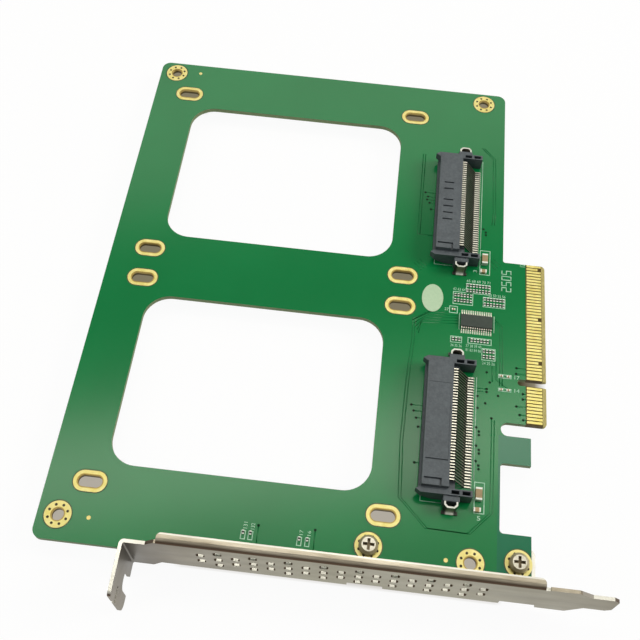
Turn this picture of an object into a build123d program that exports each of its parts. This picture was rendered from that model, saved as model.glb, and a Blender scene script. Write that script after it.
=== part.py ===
from build123d import *
import os

# Adapter card that carries two flat drives: a green circuit board with two windows, two drive
# receptacles, an edge connector and a folded slot bracket. The board lies flat, its component
# side up. X runs from the drives to the edge connector, Y from the bracket inwards, Z up.
# All sizes are in millimetres. The datum is the front left corner of the board's top face.

# Board
board_thick = 1.57
far_margin = 13.06
connector_side = 30.0
outer_round = 2.6
foot_out = 8.2
foot_depth = 14.75
notch_round = 1.0
step_round = 0.7
tab_low = 33.3
tab_high = 41.05
relief_high = 44.85
tongue_high = 96.1
tongue_out = 12.6
tongue_corner = 1.0
tongue_bevel_long = 1.1
tongue_bevel_deep = 0.4

# Drives: the hole pattern in the underside of a flat drive, and the pitch between two drives
drive_hole_x = 76.6
drive_hole_y = 61.72
drive_pitch = 72.05
first_slot_x = 11.4
first_slot_y = 15.72
board_depth = first_slot_y + drive_pitch + drive_hole_y + far_margin
board_width = first_slot_x + drive_hole_x + connector_side
slot_long = 6.5
slot_wide = 3.2
slot_land = 1.2
window_x = 69.85
window_y = 51.1
window_round = 7.5
window_shift = -0.6

# Corner holes
corner_left = 5.36
corner_right = 7.19
corner_front = 6.4
corner_back = 4.35
corner_x = board_width - corner_left - corner_right
corner_y = board_depth - corner_front - corner_back
corner_hole = 3.2
corner_land = 7.0

# Plating and small metal
plate = 0.04

# Edge contacts: pins at one millimetre, a short group by the bracket and a long group beyond
pin_pitch = 1.0
pin_wide = 0.7
short_group = 11
long_group = 38
group_step = 3.0
first_pin_y = 45.7
pin_set_in = 5.5
pin_long = 4.3
pin_short = 3.3
presence_pins = (16, 30, 47)
key_wide = 1.9
key_depth = 8.1

# Drive receptacles
rec_from_holes = 7.5
rec_shift = -5.7
rec_long = 38.7
arm_wide = 1.65
arm_high = 4.8
arm_deep = 14.75
arm_tip = 1.3
arm_lift = 2.3
arm_rise = 4.6
arm_hole_long = 2.1
arm_hole_wide = 1.0
arm_hole_deep = 3.0
arm_hole_inset = 0.55
arm_hole_gap = 0.75
cover_front = 1.35
cover_back = 8.4
cover_high = 6.3
mouth_high = 2.5
mouth_low = 2.6
mouth_deep = 5.9
foot_rail = 0.5
foot_rail_high = 2.2
contact_count = 40
contact_pitch = 0.8
contact_wide = 0.42
contact_thick = 0.22
contact_top = 5.0
contact_flat = 1.4
contact_run = 3.3
contact_foot = 1.5
contact_shift = 0.35
mouth_margin = 1.29
blade_long = 4.2
blade_high = 0.3
hook_x = 4.6
hook_y = 1.5
hook_gap = 0.5
hook_step = 0.7
cover_slit_wide = 0.45
cover_slit_from = 2.9
cover_slit_to = 5.85
cover_slit_deep = 0.6
cover_slit_pitch = 2.4
cover_slit_starts = (-7.5, 3.85)
cover_slit_counts = (4, 2)
panel_from = 1.9
panel_to = 7.9
panel_half = 11.0
panel_deep = 0.12
panel_groove = 0.4
panel_groove_deep = 0.5

# End clips of the receptacles, and the boss of the housing inside each
clip_x = 9.4
clip_wide = 3.6
clip_out = 3.2
clip_bar = 0.45
clip_corner = 0.8
clip_high = 4.2
clip_foot_wide = 4.2
clip_foot_out = 0.5
clip_foot_high = 0.35
boss_wide = 1.8
boss_out = 1.3
boss_high = 3.2

# Clock chip
chip_from_rec = 14.95
chip_long = 9.2
chip_wide = 3.8
chip_high = 1.0
chip_gap = 0.1
lead_count = 14
lead_pitch = 0.65
lead_wide = 0.28
lead_thick = 0.18
lead_foot = 0.55
lead_flat = 0.35
lead_level = 0.5

# Small parts: chips of ceramic with metal ends
res_long = 1.0
res_wide = 0.55
res_high = 0.4
res_end = 0.26
res_pitch = 0.92
cap_long = 3.3
cap_wide = 1.7
cap_high = 1.5
cap_end = 0.5
small_cap_long = 1.9
small_cap_wide = 1.1
small_cap_high = 0.9
small_cap_end = 0.4
cap_from_rec = 16.85
cap_above_end = 2.4
small_cap_below = 4.05
small_cap_aside = 0.3

# Clusters of small parts: their distance from the receptacles' tips, and their height as a share
# of the room between the clip of one receptacle and the clip of the other
cluster_far = (15.25, 0.83)
cluster_left = (10.8, 0.693)
cluster_right = (20.0, 0.678)
cluster_low_left = (9.3, 0.186)
cluster_low_mid = (16.05, 0.192)
cluster_low_right = (18.7, 0.047)
chip_share = 0.411
row_share = 0.0649
lone_cap = (8.15, 0.544)
lone_pair_x = 23.4
lone_pair_shares = (0.266, 0.186)
jumper_x = (52.95, 54.85, 67.3, 69.35)
jumper_y = 7.4

# Sticker
sticker_from_rec = 1.85
sticker_share = 0.661
sticker_long = 9.2
sticker_wide = 6.3
sticker_thick = 0.08

# Slot bracket: one sheet, its outer face in front of the board
sheet = 0.86
bend_in = 0.4
bracket_gap = 0.64
strip_wide = 18.42
strip_low = -3.4
tab_shift = 3.15
bracket_back = 100.4
bracket_long = 120.02
shift_start_in = 5.35
shift_end_in = 7.75
lip_in = 8.2
lip_end_in = 18.16
lip_deep = 2.5
lip_corner = 1.2
lip_relief = 1.2
shoulder_drop = 0.57
taper_start_in = 10.16
taper_end_in = 6.46
tongue_wide = 10.19
tongue_low = 1.6
tongue_nose = 1.4
screw_tab_deep = 12.3
screw_notch_near = 3.7
screw_notch_wide = 4.6
screw_notch_deep = 7.5
nose_round = 2.8
tab_edge_round = 1.0
slit_long = 3.6
slit_wide = 1.3
slit_above = 5.3
vent_cols = 17
vent_first_in = 18.48
vent_pitch = 4.305
vent_top = 10.43
vent_step = 4.834
vent_wide = 2.15
vent_high = 2.6
vent_corner = 0.45
ear_inset = 3.27
ear_pitch = 38.05
ear_wide = 9.0
ear_reach = 12.2
ear_corner = 2.0
ear_bore = 3.0

# Bracket screws
screw_y = 7.62
screw_land = 7.0
screw_bore = 3.2
screw_size = 2.9
screw_head = 5.0
screw_head_high = 1.9
screw_edge = 0.7
screw_long = 4.2
cross_long = 2.9
cross_wide = 0.75
cross_deep = 1.0

# Places that follow from the sizes above
right_edge = board_width
foot_edge = board_width + foot_out
tongue_edge = board_width + tongue_out
drive_rows = [first_slot_y + k * drive_pitch for k in (0, 1)]
drive_mid_x = first_slot_x + drive_hole_x / 2
drive_mids = [y + drive_hole_y / 2 for y in drive_rows]
corner_mid = (corner_left + corner_x / 2, corner_front + corner_y / 2)
key_y = first_pin_y + (short_group - 1) * pin_pitch + group_step / 2
face_y = -bracket_gap - sheet
strip_high = strip_low + strip_wide
tab_bottom = strip_low - tab_shift
bracket_left = foot_edge - bracket_back
bracket_right = bracket_left - sheet + bracket_long
shift_start = bracket_left + shift_start_in
shift_end = bracket_left + shift_end_in
lip_left = bracket_left + lip_in
lip_right = bracket_right - lip_end_in
taper_start = bracket_right - taper_start_in
taper_end = bracket_right - taper_end_in
ear_x = (foot_edge - ear_inset - ear_pitch, foot_edge - ear_inset)
ear_seat = -board_thick
rec_x = first_slot_x + drive_hole_x + rec_from_holes
rec_mids = [y + rec_shift for y in drive_mids]
room_low = rec_mids[0] + rec_long / 2 + clip_out
room = rec_mids[1] - rec_long / 2 - clip_out - room_low
res_row = row_share * room
chip_x = rec_x + chip_from_rec
chip_y = room_low + chip_share * room
pin_start = tongue_edge - pin_set_in
mouth_long = (contact_count - 1) * contact_pitch + contact_wide + 2 * mouth_margin

# The part stands on its lowest edge, with the middle of its outline over the origin
x_mid = bracket_right / 2
y_mid = (board_depth + face_y - screw_tab_deep) / 2
to_part = Pos(-x_mid, -y_mid, -tab_bottom)


def save(name, shapes):
    solids = []
    for shape in shapes:
        solids += list((to_part * shape).solids())
    body = solids[0] if len(solids) == 1 else Compound(children=solids)
    export_step(body, f"parts/{name}.step")


def block(x0, x1, y0, y1, z0, z1):
    return Pos((x0 + x1) / 2, (y0 + y1) / 2, (z0 + z1) / 2) * Box(x1 - x0, y1 - y0, z1 - z0)


def prism(sketch, z0, z1):
    return Pos(0, 0, z0) * extrude(sketch, z1 - z0)


def oval(length, width):
    return SlotOverall(length, width)


# Rounds the edge that runs along the given axis and passes nearest to the spot
def round_edge(solid, axis, spot, radius):
    return fillet(solid.edges().filter_by(axis).sort_by_distance(Vector(*spot))[0], radius)


# The board's outline is a rounded rectangle and the strip towards the edge connector, less its steps
def board_outline():
    shape = Pos(right_edge / 2, board_depth / 2) * RectangleRounded(right_edge, board_depth, outer_round)
    half = tongue_edge / 2
    shape += Pos(half * 3 / 2, tongue_high / 2) * Rectangle(half, tongue_high)
    step = tongue_edge - right_edge
    shape -= Pos(tongue_edge, relief_high / 2) * Rectangle(2 * (tongue_edge - foot_edge), relief_high)
    relief = relief_high - tab_high
    shape -= Pos(tongue_edge, relief_high - relief / 2) * oval(2 * step, relief)
    notch = tab_low - foot_depth
    shape -= Pos(tongue_edge, foot_depth + notch / 2) * RectangleRounded(2 * step, notch, notch_round)
    return shape


def drive_slot_places():
    return [(first_slot_x + i * drive_hole_x, y + j * drive_hole_y)
            for y in drive_rows for i in (0, 1) for j in (0, 1)]


def corner_places():
    return [(corner_mid[0] + i * corner_x / 2, corner_mid[1] + j * corner_y / 2)
            for i in (-1, 1) for j in (-1, 1)]


def screw_places():
    return [(x, screw_y) for x in ear_x]


def make_board():
    face = board_outline()
    for y in drive_mids:
        face -= Pos(drive_mid_x + window_shift, y) * RectangleRounded(window_x, window_y, window_round)
    for place in drive_slot_places():
        face -= Pos(*place) * oval(slot_long, slot_wide)
    for place in corner_places():
        face -= Pos(*place) * Circle(corner_hole / 2)
    for place in screw_places():
        face -= Pos(*place) * Circle(screw_bore / 2)
    key = Pos(tongue_edge - key_depth / 2 + key_wide / 2, key_y)
    face -= key * oval(key_depth + key_wide, key_wide)
    body = prism(face, -board_thick, 0)
    body = round_edge(body, Axis.Z, (right_edge, tongue_high, 0), step_round)
    for y in (tongue_high, relief_high):
        body = round_edge(body, Axis.Z, (tongue_edge, y, 0), tongue_corner)
    for side in (0, 1):
        wedge = Polyline((tongue_edge, 0), (tongue_edge, -tongue_bevel_deep),
                         (tongue_edge - tongue_bevel_long, 0), close=True)
        wedge = extrude(Plane.XZ * make_face(wedge), -board_depth)
        if side:
            wedge = Pos(0, 0, -board_thick) * mirror(wedge, Plane.XY)
        body -= wedge
    return body


# A plated hole has a thin land of metal around its mouth
def land(outer, inner, place):
    return prism(Pos(*place) * (outer - inner), 0, plate)


def make_drive_lands():
    outer = oval(slot_long + 2 * slot_land, slot_wide + 2 * slot_land)
    return [land(outer, oval(slot_long, slot_wide), place) for place in drive_slot_places()]


def make_round_lands(places, size, bore):
    return [land(Circle(size / 2), Circle(bore / 2), place) for place in places]


# Edge contacts are thin plated strips, a few of them shorter to make contact last
def pin_rows():
    near = [first_pin_y + k * pin_pitch for k in range(short_group)]
    return near + [near[-1] + group_step + k * pin_pitch for k in range(long_group)]


def make_pins(z0, z1, short):
    pins = []
    for k, y in enumerate(pin_rows()):
        end = pin_start + (pin_short if k in short else pin_long)
        pins.append(block(pin_start, end, y - pin_wide / 2, y + pin_wide / 2, z0, z1))
    return pins


# A drive receptacle: two guide arms with lifted tips, a raised cover with the mouth in it, and a
# boss at each end for the clip
def arm_profile():
    tip = arm_tip
    return make_face(Polyline((0, arm_wide / 2), (tip, 0), (arm_deep, 0), (arm_deep, arm_wide),
                              (tip, arm_wide), close=True))


def make_housing(y_mid_rec, make_mark):
    low = y_mid_rec - rec_long / 2
    high = y_mid_rec + rec_long / 2
    body = block(rec_x + cover_front, rec_x + cover_back, low + arm_wide, high - arm_wide, 0, cover_high)
    body += block(rec_x + cover_front - foot_rail, rec_x + cover_front, low + arm_wide, high - arm_wide,
                  0, foot_rail_high)
    arm = extrude(arm_profile(), arm_high)
    under = Polyline((0, 0), (arm_rise, 0), (0, arm_lift), close=True)
    arm -= extrude(Plane.XZ * make_face(under), -arm_wide)
    body += Pos(rec_x, low, 0) * arm
    body += Pos(rec_x, high - arm_wide, 0) * arm
    body += block(rec_x + clip_x - boss_wide / 2, rec_x + clip_x + boss_wide / 2, low - boss_out,
                  high + boss_out, 0, boss_high)
    for y0 in (low, high - arm_wide):
        x = rec_x + arm_deep - arm_hole_inset - arm_hole_long
        for _ in (0, 1):
            y_hole = y0 + (arm_wide - arm_hole_wide) / 2
            body -= block(x, x + arm_hole_long, y_hole, y_hole + arm_hole_wide,
                          arm_high - arm_hole_deep, arm_high)
            x -= arm_hole_long + arm_hole_gap
    body -= block(rec_x, rec_x + cover_front + mouth_deep, y_mid_rec - mouth_long / 2,
                  y_mid_rec + mouth_long / 2, mouth_low, mouth_low + mouth_high)
    hook_low = low + arm_wide
    body -= block(rec_x + cover_front + hook_gap, rec_x + cover_front + hook_x, hook_low + hook_y,
                  hook_low + hook_y + hook_gap, cover_high - hook_step, cover_high)
    body -= block(rec_x + cover_front + hook_x, rec_x + cover_front + hook_x + hook_gap, hook_low,
                  hook_low + hook_y + hook_gap, cover_high - hook_step, cover_high)
    for mark in make_mark(y_mid_rec):
        body -= mark
    return body


# The upper cover has short slits across it, the lower one a shallow panel that ends in a groove
def cover_slits(y_mid_rec):
    groups = zip(cover_slit_starts, cover_slit_counts)
    rows = [first + k * cover_slit_pitch for first, count in groups for k in range(count)]
    return [block(rec_x + cover_slit_from, rec_x + cover_slit_to, y_mid_rec + row,
                  y_mid_rec + row + cover_slit_wide, cover_high - cover_slit_deep, cover_high)
            for row in rows]


def cover_panel(y_mid_rec):
    x0, x1 = rec_x + panel_from, rec_x + panel_to
    y0, y1 = y_mid_rec - panel_half, y_mid_rec + panel_half
    groove = block(x0, x1, y0, y0 + panel_groove, cover_high - panel_groove_deep, cover_high)
    return [block(x0, x1, y0, y1, cover_high - panel_deep, cover_high), groove]


def contact_rows(y_mid_rec):
    first = y_mid_rec + contact_shift - (contact_count - 1) * contact_pitch / 2
    return [first + k * contact_pitch for k in range(contact_count)]


def make_contacts(y_mid_rec):
    x0 = rec_x + cover_back
    x1 = x0 + contact_flat
    x2 = x1 + contact_run
    x3 = x2 + contact_foot
    t = contact_thick
    profile = Polyline((x0, contact_top), (x1, contact_top), (x2, t), (x3, t), (x3, 0), (x2 - t, 0),
                       (x1 - t, contact_top - t), (x0, contact_top - t), close=True)
    strip = extrude(Plane.XZ * make_face(profile), contact_wide / 2, both=True)
    return [Pos(0, y, 0) * strip for y in contact_rows(y_mid_rec)]


def make_blades(y_mid_rec):
    x1 = rec_x + cover_front + mouth_deep
    top = mouth_low + mouth_high
    return [block(x1 - blade_long, x1, y - contact_wide / 2, y + contact_wide / 2, z0, z0 + blade_high)
            for y in contact_rows(y_mid_rec) for z0 in (mouth_low, top - blade_high)]


# An end clip is a strip of sheet metal, folded to a U round the boss, with a foot to solder down
def make_clips(y_mid_rec):
    outer = Rectangle(clip_wide, 2 * clip_out)
    outer = chamfer(outer.vertices(), clip_corner)
    inner = Rectangle(clip_wide - 2 * clip_bar, 2 * (clip_out - clip_bar))
    inner = chamfer(inner.vertices(), clip_corner - clip_bar / 2)
    half = Pos(0, -clip_out / 2) * Rectangle(clip_wide, clip_out)
    clip = extrude((outer - inner) & half, clip_high)
    clip += block(-clip_foot_wide / 2, clip_foot_wide / 2, -clip_out - clip_foot_out, -clip_out + clip_bar,
                  0, clip_foot_high)
    x = rec_x + clip_x
    return [Pos(x, y_mid_rec - rec_long / 2, 0) * clip,
            Pos(x, y_mid_rec + rec_long / 2, 0) * Rot(0, 0, 180) * clip]


# The clock chip stands on two rows of bent leads
def make_chip_body():
    return [block(chip_x - chip_long / 2, chip_x + chip_long / 2, chip_y - chip_wide / 2,
                  chip_y + chip_wide / 2, chip_gap, chip_gap + chip_high)]


def make_leads():
    y0 = chip_wide / 2
    y1 = y0 + lead_flat
    y2 = y1 + lead_thick
    y3 = y2 + lead_foot
    t = lead_thick
    profile = Polyline((y0, lead_level + t), (y2, lead_level + t), (y2, t), (y3, t), (y3, 0), (y1, 0),
                       (y1, lead_level), (y0, lead_level), close=True)
    lead = extrude(Plane.YZ * make_face(profile), lead_wide / 2, both=True)
    first = chip_x - (lead_count - 1) * lead_pitch / 2
    leads = []
    for k in range(lead_count):
        place = Pos(first + k * lead_pitch, chip_y, 0)
        leads += [place * lead, place * Rot(0, 0, 180) * lead]
    return leads


# Small chip parts: a ceramic body between two metal ends
def chip_part(x, y, turned, size):
    long, wide, high, end = size
    body = Box(long - 2 * end, wide, high)
    cap = Box(end, wide, high)
    turn = Rot(0, 0, 90) if turned else Rot(0, 0, 0)
    place = Pos(x, y, high / 2) * turn
    ends = [place * Pos(s * (long - end) / 2, 0, 0) * cap for s in (-1, 1)]
    return place * body, ends


resistor = (res_long, res_wide, res_high, res_end)
capacitor = (cap_long, cap_wide, cap_high, cap_end)
small_capacitor = (small_cap_long, small_cap_wide, small_cap_high, small_cap_end)


def in_room(spot):
    return rec_x + spot[0], room_low + spot[1] * room


def grid(spot, columns, rows):
    x, y = in_room(spot)
    x0 = x - (columns - 1) * res_pitch / 2
    y0 = y - (rows - 1) * res_row / 2
    return [(x0 + i * res_pitch, y0 + j * res_row) for i in range(columns) for j in range(rows)]


def make_small(places, turned, size):
    bodies, ends = [], []
    for x, y in places:
        body, caps = chip_part(x, y, turned, size)
        bodies.append(body)
        ends += caps
    return bodies, ends


# The bracket is one folded sheet: strip, lip, screw tab, tongue and two ears under the board
def strip_profile():
    top = strip_high - shoulder_drop
    root = strip_high - bend_in - sheet
    upper_tongue = tongue_low + tongue_wide
    left, right = bracket_left + bend_in, bracket_right
    nose = right - tongue_nose
    points = [(left, tab_bottom), (shift_start, tab_bottom), (shift_end, strip_low),
              (taper_start, strip_low), (taper_end, tongue_low), (nose, tongue_low),
              (right, tongue_low + tongue_nose), (right, upper_tongue - tongue_nose),
              (nose, upper_tongue), (taper_end, upper_tongue), (taper_start, top),
              (lip_right + lip_relief, top), (lip_right + lip_relief, root), (lip_left, root),
              (lip_left, top), (shift_end, top), (shift_start, strip_high - tab_shift),
              (left, strip_high - tab_shift)]
    return make_face(Polyline(*points, close=True))


def make_vents():
    vent = Rectangle(vent_wide, vent_high)
    vent = chamfer(vent.vertices(), vent_corner)
    vents = []
    for k in range(vent_cols):
        x = bracket_left + vent_first_in + k * vent_pitch
        rows = 2 + k % 2
        for j in range(rows):
            z = vent_top - (j + (3 - rows) / 2) * vent_step
            vents.append(Pos(x, z) * vent)
    return vents


# A bend is the quarter of a thick ring that lies in the given corner box
def bend(place, length, corner):
    ring = Cylinder(bend_in + sheet, length) - Cylinder(bend_in, length)
    return (place * ring) & corner


def make_face_plate():
    face = strip_profile()
    for vent in make_vents():
        face -= vent
    root = ear_seat + bend_in
    for x in ear_x:
        face -= Pos(x, strip_low) * Rectangle(ear_wide, 2 * (root - strip_low))
    return Pos(0, face_y + sheet, 0) * extrude(Plane.XZ * face, sheet)


def make_lip():
    r = bend_in + sheet
    y, z = face_y + r, strip_high - r
    mid, length = (lip_left + lip_right) / 2, lip_right - lip_left
    corner = block(lip_left, lip_right, face_y, y, z, strip_high)
    rolled = bend(Pos(mid, y, z) * Rot(0, 90, 0), length, corner)
    flat = block(lip_left, lip_right, y, face_y + lip_deep, strip_high - sheet, strip_high)
    for x in (lip_left, lip_right):
        flat = round_edge(flat, Axis.Z, (x, face_y + lip_deep, z), lip_corner)
    return rolled + flat


def make_screw_tab():
    x, y = bracket_left + bend_in, face_y - bend_in
    top, end = strip_high - tab_shift, face_y - screw_tab_deep
    high = top - tab_bottom
    corner = block(bracket_left - sheet, x, y, face_y + sheet, tab_bottom, top)
    rolled = bend(Pos(x, y, (top + tab_bottom) / 2), high, corner)
    flat = Pos((y + end) / 2, (top + tab_bottom) / 2) * Rectangle(y - end, high)
    notch_y = face_y - screw_notch_near - screw_notch_wide / 2
    flat -= Pos(notch_y, tab_bottom) * Rot(0, 0, 90) * oval(2 * screw_notch_deep, screw_notch_wide)
    flat -= Pos(end, slit_above) * oval(2 * slit_long, slit_wide)
    flat = Pos(bracket_left - sheet, 0, 0) * extrude(Plane.YZ * flat, sheet)
    flat = round_edge(flat, Axis.X, (bracket_left, end, tab_bottom), nose_round)
    flat = round_edge(flat, Axis.X, (bracket_left, end, top), tab_edge_round)
    return rolled + flat


def make_ear(x):
    r = bend_in + sheet
    y, z = face_y + r, ear_seat + bend_in
    x0, x1 = x - ear_wide / 2, x + ear_wide / 2
    rolled = bend(Pos(x, y, z) * Rot(0, 90, 0), ear_wide, block(x0, x1, face_y, y, z - r, z))
    flat = block(x0, x1, y, ear_reach, ear_seat - sheet, ear_seat)
    for x_side in (x0, x1):
        flat = round_edge(flat, Axis.Z, (x_side, ear_reach, z), ear_corner)
    flat -= Pos(x, screw_y, ear_seat) * Cylinder(ear_bore / 2, 2 * sheet)
    return rolled + flat


def make_bracket():
    body = make_face_plate() + make_lip() + make_screw_tab()
    for x in ear_x:
        body += make_ear(x)
    return [body]


# A bracket screw: pan head with a cross recess, its shank through the board and the ear
def make_screw(x):
    head = Pos(0, 0, screw_head_high / 2) * Cylinder(screw_head / 2, screw_head_high)
    head = chamfer(head.edges().sort_by(Axis.Z)[-1], screw_edge)
    bar = Box(cross_long, cross_wide, cross_deep)
    for turn in (0, 90):
        head -= Pos(0, 0, screw_head_high - cross_deep / 2) * Rot(0, 0, turn) * bar
    shank = Pos(0, 0, -screw_long / 2) * Cylinder(screw_size / 2, screw_long)
    return Pos(x, screw_y, plate) * (head + shank)


os.makedirs("parts", exist_ok=True)
save("board", [make_board()])
save("drive_slot_lands", make_drive_lands())
save("corner_hole_lands", make_round_lands(corner_places(), corner_land, corner_hole))
save("screw_lands", make_round_lands(screw_places(), screw_land, screw_bore))
save("edge_pins_top", make_pins(0, plate, presence_pins))
save("edge_pins_bottom", make_pins(-board_thick - plate, -board_thick, ()))
for name, y, mark in (("lower", rec_mids[0], cover_panel), ("upper", rec_mids[1], cover_slits)):
    save(f"{name}_housing", [make_housing(y, mark)])
    save(f"{name}_contacts", make_contacts(y))
    save(f"{name}_blades", make_blades(y))
    save(f"{name}_clips", make_clips(y))
save("chip_body", make_chip_body())
save("chip_leads", make_leads())
clusters = {
    "resistors_by_edge": grid(cluster_far, 8, 2) + grid(cluster_right, 7, 2),
    "resistors_by_drive": grid(cluster_left, 6, 2),
    "resistors_by_chip": grid(cluster_low_left, 3, 1) + grid(cluster_low_mid, 6, 1)
    + grid(cluster_low_right, 4, 2),
    "resistors_by_bracket": [(x, jumper_y) for x in jumper_x],
}
for name, places in clusters.items():
    bodies, ends = make_small(places, True, resistor)
    save(name, bodies)
    save(f"{name}_ends", ends)
pair_rows = [relief_high + share * (tongue_high - relief_high) for share in lone_pair_shares]
lone = [(rec_x + lone_pair_x + side * res_long, y) for y in pair_rows for side in (-1, 1)]
bodies, ends = make_small(lone + [in_room(lone_cap)], False, resistor)
save("lone_capacitors", bodies)
save("lone_capacitor_ends", ends)
for name, y in (("lower", rec_mids[0] - rec_long / 2), ("upper", rec_mids[1] - rec_long / 2)):
    x = rec_x + cap_from_rec
    bodies, ends = make_small([(x, y + cap_above_end)], True, capacitor)
    more, more_ends = make_small([(x - small_cap_aside, y + cap_above_end - small_cap_below)], False,
                                 small_capacitor)
    save(f"{name}_capacitors", bodies + more)
    save(f"{name}_capacitor_ends", ends + more_ends)
sticker = Pos(*in_room((sticker_from_rec, sticker_share))) * Ellipse(sticker_wide / 2, sticker_long / 2)
save("inspection_sticker", [prism(sticker, 0, sticker_thick)])
save("slot_bracket", make_bracket())
save("bracket_screws", [make_screw(x) for x in ear_x])
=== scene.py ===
import math

import bpy
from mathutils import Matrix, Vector


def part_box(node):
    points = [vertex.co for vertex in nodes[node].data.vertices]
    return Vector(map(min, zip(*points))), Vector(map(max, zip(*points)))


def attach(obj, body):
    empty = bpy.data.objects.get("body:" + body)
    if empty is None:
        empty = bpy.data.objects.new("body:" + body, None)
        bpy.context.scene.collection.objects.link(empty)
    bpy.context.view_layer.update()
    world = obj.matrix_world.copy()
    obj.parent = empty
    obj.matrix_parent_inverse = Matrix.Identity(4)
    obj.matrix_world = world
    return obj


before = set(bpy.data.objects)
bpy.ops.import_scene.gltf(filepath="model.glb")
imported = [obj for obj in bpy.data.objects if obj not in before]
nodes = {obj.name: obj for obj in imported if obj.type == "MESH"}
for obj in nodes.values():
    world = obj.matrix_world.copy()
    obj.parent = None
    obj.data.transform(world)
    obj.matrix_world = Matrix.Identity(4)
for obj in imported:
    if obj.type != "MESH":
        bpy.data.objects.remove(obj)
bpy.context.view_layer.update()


# Circuit board
# A flat sheet of glass laminate, copper on both faces under a semi-gloss green mask. The mask stops
# short of the edge contacts, where the bare laminate shows, and the sawn edges show it too.
board_low, board_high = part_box("board")
board_top = board_high[2]
board_bottom = board_low[2]
corner_x, corner_y = board_low[0], board_low[1]
pins_low, pins_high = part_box("edge_pins_top")
bare_from = pins_low[0] - 0.0003
bare_beside = 0.001
rim_from = pins_high[0] + 0.0001
pour_from = corner_x + 0.1174
pour_to = corner_y + 0.0411
mask_film = 0.00002
mask_rough = 0.18
sawn_rough = 0.62


def finish(name, rough=0.5, metal=0.0):
    material = bpy.data.materials.new(name)
    material.use_nodes = True
    tree = material.node_tree
    shader = tree.nodes["Principled BSDF"]
    shader.inputs["Roughness"].default_value = rough
    shader.inputs["Metallic"].default_value = metal
    return material, tree, shader


def place_on_part(tree, stretch=(1, 1, 1)):
    where = tree.nodes.new("ShaderNodeTexCoord")
    turn = tree.nodes.new("ShaderNodeMapping")
    turn.inputs["Scale"].default_value = stretch
    tree.links.new(where.outputs["Object"], turn.inputs["Vector"])
    return turn.outputs["Vector"]


def noise(tree, where, scale, detail=4.0, rough=0.55):
    grain = tree.nodes.new("ShaderNodeTexNoise")
    grain.inputs["Scale"].default_value = scale
    grain.inputs["Detail"].default_value = detail
    grain.inputs["Roughness"].default_value = rough
    tree.links.new(where, grain.inputs["Vector"])
    return grain.outputs["Fac"]


def tones(tree, amount, *stops):
    ramp = tree.nodes.new("ShaderNodeValToRGB")
    band = ramp.color_ramp
    while len(band.elements) < len(stops):
        band.elements.new(0.5)
    for element, (spot, colour) in zip(band.elements, stops):
        element.position = spot
        element.color = (*colour, 1)
    tree.links.new(amount, ramp.inputs["Fac"])
    return ramp.outputs["Color"]


def spread(tree, amount, low, high, start=0.3, end=0.7):
    change = tree.nodes.new("ShaderNodeMapRange")
    change.inputs["From Min"].default_value = start
    change.inputs["From Max"].default_value = end
    change.inputs["To Min"].default_value = low
    change.inputs["To Max"].default_value = high
    tree.links.new(amount, change.inputs["Value"])
    return change.outputs["Result"]


def relief(tree, shader, height, depth, strength=0.3):
    bump = tree.nodes.new("ShaderNodeBump")
    bump.inputs["Strength"].default_value = strength
    bump.inputs["Distance"].default_value = depth
    tree.links.new(height, bump.inputs["Height"])
    tree.links.new(bump.outputs["Normal"], shader.inputs["Normal"])


def maths(tree, kind, first, second=0.0):
    step = tree.nodes.new("ShaderNodeMath")
    step.operation = kind
    for socket, value in zip(step.inputs, (first, second)):
        if isinstance(value, float):
            socket.default_value = value
        else:
            tree.links.new(value, socket)
    return step.outputs[0]


def blend_colours(tree, amount, first, second):
    mix = tree.nodes.new("ShaderNodeMix")
    mix.data_type = "RGBA"
    tree.links.new(amount, mix.inputs["Factor"])
    for socket, value in ((mix.inputs["A"], first), (mix.inputs["B"], second)):
        if isinstance(value, tuple):
            socket.default_value = (*value, 1)
        else:
            tree.links.new(value, socket)
    return mix.outputs["Result"]


def coat_node(name, material):
    piece = nodes[name]
    piece.data.materials.clear()
    piece.data.materials.append(material)


def between(tree, value, low, high):
    above = maths(tree, "GREATER_THAN", value, low)
    return maths(tree, "MULTIPLY", above, maths(tree, "LESS_THAN", value, high))


def along_axes(tree, vector):
    axes = tree.nodes.new("ShaderNodeSeparateXYZ")
    tree.links.new(vector, axes.inputs["Vector"])
    return axes.outputs["X"], axes.outputs["Y"], axes.outputs["Z"]


solder_mask, tree, shader = finish("solder_mask", mask_rough)
where = place_on_part(tree)
spot_x, spot_y, spot_z = along_axes(tree, where)
cloud = noise(tree, where, 26.0, 3.0)
green = tones(tree, cloud, (0.3, (0.0004, 0.190, 0.048)), (0.7, (0.0012, 0.219, 0.058)))
past_pour = maths(tree, "GREATER_THAN", spot_x, pour_from)
below_pour = maths(tree, "LESS_THAN", spot_y, pour_to)
corner_pour = maths(tree, "MULTIPLY", past_pour, below_pour)
green = blend_colours(tree, corner_pour, green, (0.004, 0.170, 0.078))
fibres = noise(tree, place_on_part(tree, (1, 1, 12)), 900.0, 3.0)
edge_tone = tones(tree, fibres, (0.35, (0.14, 0.20, 0.09)), (0.65, (0.26, 0.33, 0.17)))
gap_tone = tones(tree, fibres, (0.35, (0.060, 0.036, 0.004)), (0.65, (0.12, 0.078, 0.012)))
rim_tone = tones(tree, fibres, (0.35, (0.38, 0.32, 0.10)), (0.65, (0.54, 0.47, 0.18)))
past_pins = maths(tree, "GREATER_THAN", spot_x, rim_from)
bare_tone = blend_colours(tree, past_pins, gap_tone, rim_tone)
beside_pins = between(tree, spot_y, pins_low[1] - bare_beside, pins_high[1] + bare_beside)
past_mask = maths(tree, "MULTIPLY", maths(tree, "GREATER_THAN", spot_x, bare_from), beside_pins)
laminate = blend_colours(tree, past_mask, edge_tone, bare_tone)
sawn = between(tree, spot_z, board_bottom + mask_film, board_top - mask_film)
bare = maths(tree, "MAXIMUM", past_mask, sawn)
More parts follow.
